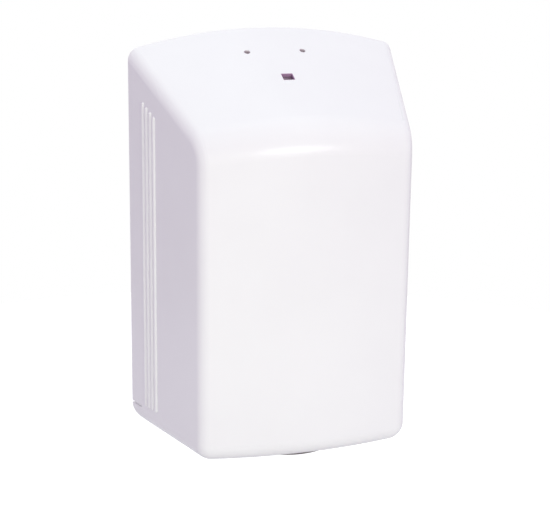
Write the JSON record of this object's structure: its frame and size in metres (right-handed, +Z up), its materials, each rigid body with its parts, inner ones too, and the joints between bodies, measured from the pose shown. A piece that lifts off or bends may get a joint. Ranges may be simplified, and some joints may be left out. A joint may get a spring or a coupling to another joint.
{
  "type": "toilet seat wipe dispenser",
  "caption": "Wall-hung dispenser for toilet seat wipes: tapered white cover with a sloping crowned top, hinged at its rear bottom corners and locked by a square key, with a nozzle underneath.",
  "frame": {"origin": "on the wall plate's rear face, on the centre line, level with the underside of the cover", "axes": "+Y into the wall, so the front faces -Y; +Z up; X across the width"},
  "size_m": [0.1778, 0.098, 0.2595],
  "materials": {
    "white_abs": "smooth moulded white, satin gloss",
    "white_abs_satin": "fine spark-eroded white",
    "dark_plastic": "moulded near-black brown",
    "membrane_rubber": "soft moulded rubber",
    "grey_plastic": "moulded grey",
    "steel": "zinc-plated steel",
    "zinc": "die-cast zinc"
  },
  "bodies": {
    "chassis": {"back_plate": "white_abs_satin", "base_shelf": "white_abs_satin", "shelf_screws": "steel", "hinge_pin_left": "steel", "hinge_pin_right": "steel", "outlet_cone": "dark_plastic", "outlet_membrane": "membrane_rubber", "outlet_ring": "dark_plastic", "outlet_screws": "steel", "lock_keeper": "steel", "keeper_screws": "steel"},
    "cover": {"front_cover": "white_abs", "lock_housing": "grey_plastic", "lock_retainer": "steel", "lock_screws": "steel", "guide_pin_left": "steel", "guide_pin_right": "steel"},
    "barrel": {"lock_barrel": "zinc", "barrel_washer": "steel", "barrel_clip": "steel"},
    "latch": {"latch_plate": "zinc"}
  },
  "joints": [
    {"name": "cover_hinge", "type": "hinge", "parent": "chassis", "child": "cover", "pos_m": [0, -0.013, 0.008], "axis": [1, 0, 0], "range_deg": [0, 90]},
    {"name": "lock_turn", "type": "hinge", "parent": "cover", "child": "barrel", "pos_m": [0, -0.0492, 0.23094], "axis": [0, 0.4652, -0.8852], "range_deg": [0, 90]},
    {"name": "latch_slide", "type": "slide", "parent": "cover", "child": "latch", "axis": [1, 0, 0], "range_m": [0, 0.00942]}
  ],
  "couplings": [
    {"joint": "latch_slide", "follows": "lock_turn", "m_per_rad": 0.006}
  ]
}
